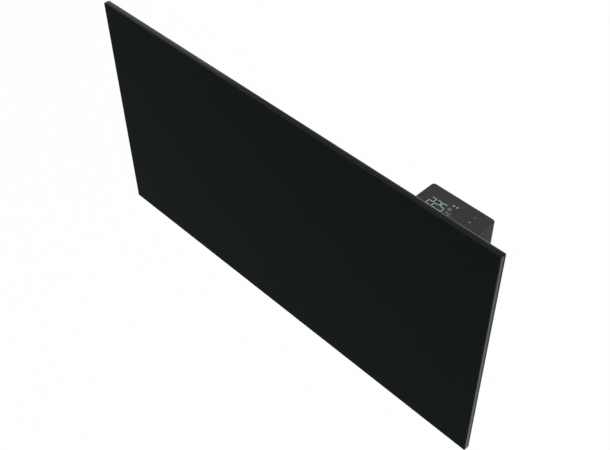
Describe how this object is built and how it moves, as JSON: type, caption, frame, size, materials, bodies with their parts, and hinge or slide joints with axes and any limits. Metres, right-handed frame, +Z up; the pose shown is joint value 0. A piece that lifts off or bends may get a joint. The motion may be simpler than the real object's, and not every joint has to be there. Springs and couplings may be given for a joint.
{
  "type": "panel heater",
  "caption": "Wall-hung electric panel heater with a black glass front, a slatted convection chamber, a rear control box with lit display and a tilt-out wall bracket.",
  "frame": {"origin": "centre of the four wall-screw holes of the bracket, on the plane of the wall", "axes": "+X to the right seen from the front, +Y into the wall, +Z up"},
  "size_m": [0.787, 0.085, 0.42],
  "materials": {
    "black_glass": "black-backed toughened glass, satin face, ground edges",
    "silicone": "black silicone",
    "tray_paint": "fine dark grey powder coat",
    "chamber_paint": "heat-proof black powder coat",
    "slat_paint": "heat-proof black paint",
    "zinc_steel": "zinc-plated steel",
    "bracket_steel": "black powder-coated steel",
    "spring_steel": "blued spring steel",
    "aluminium": "mill-finish aluminium",
    "rod_steel": "heat-tinted stainless sheath",
    "ceramic": "unglazed steatite",
    "live_wire": "brown silicone insulation",
    "neutral_wire": "blue silicone insulation",
    "earth_wire": "green and yellow insulation",
    "control_plastic": "fine-textured dark grey moulding",
    "lid_plastic": "smooth dark grey moulding",
    "board": "solder-masked glass-fibre board",
    "component": "moulded component case",
    "relay_case": "blue moulded case",
    "terminal_plastic": "green moulded terminal block",
    "can": "sleeved aluminium can",
    "ribbon": "grey ribbon cable",
    "rubber": "black rubber",
    "brass": "bare brass",
    "switch_plastic": "black moulded switch"
  },
  "bodies": {
    "wall_bracket": {"left_rail": "bracket_steel", "right_rail": "bracket_steel", "tie_bar": "bracket_steel", "left_catch_spring": "spring_steel", "right_catch_spring": "spring_steel", "catch_rivets": "zinc_steel", "rest_buffers": "rubber"},
    "heater": {"glass_panel": "black_glass", "bonding_strips": "silicone", "front_tray": "tray_paint", "back_panel": "chamber_paint", "left_end_cap": "chamber_paint", "right_end_cap": "chamber_paint", "outlet_slats": "slat_paint", "inlet_slats": "slat_paint", "cap_screws": "zinc_steel", "cap_rivets": "zinc_steel", "heat_shield": "aluminium", "element_fins": "aluminium", "heating_rod": "rod_steel", "rod_insulators": "ceramic", "left_element_bracket": "zinc_steel", "right_element_bracket": "zinc_steel", "thermal_cutout": "can", "cutout_bracket": "zinc_steel", "neutral_lead": "neutral_wire", "live_lead": "live_wire", "cutout_lead": "live_wire", "earth_lead": "earth_wire", "earth_stud": "brass", "lead_bush": "rubber", "control_housing": "control_plastic", "control_lid": "lid_plastic", "display_board": "board", "digit_module": "component", "touch_pads": "rubber", "radio_module": "can", "display_board_screws": "zinc_steel", "power_board": "board", "power_board_screws": "zinc_steel", "terminal_block": "terminal_plastic", "transformer": "component", "relay": "relay_case", "capacitors": "can", "ribbon_cable": "ribbon", "housing_screws": "zinc_steel", "room_sensor": "control_plastic", "cable_gland": "component", "gland_nut": "component", "switch_body": "switch_plastic", "switch_leads": "live_wire", "left_pivot_bracket": "zinc_steel", "right_pivot_bracket": "zinc_steel", "pivot_pins": "zinc_steel", "left_strike": "zinc_steel", "right_strike": "zinc_steel", "hanger_rivets": "zinc_steel"},
    "rocker": {"switch_rocker": "switch_plastic"}
  },
  "joints": [
    {"name": "panel_tilt", "type": "hinge", "parent": "wall_bracket", "child": "heater", "pos_m": [0, -0.016, -0.12], "axis": [1, 0, 0], "range_deg": [0, 25], "deforming": ["left_catch_spring", "right_catch_spring"]},
    {"name": "switch_rock", "type": "hinge", "parent": "heater", "child": "rocker", "pos_m": [0.3385, -0.0485, 0.105], "axis": [0, 1, 0], "range_deg": [0, 20]}
  ]
}
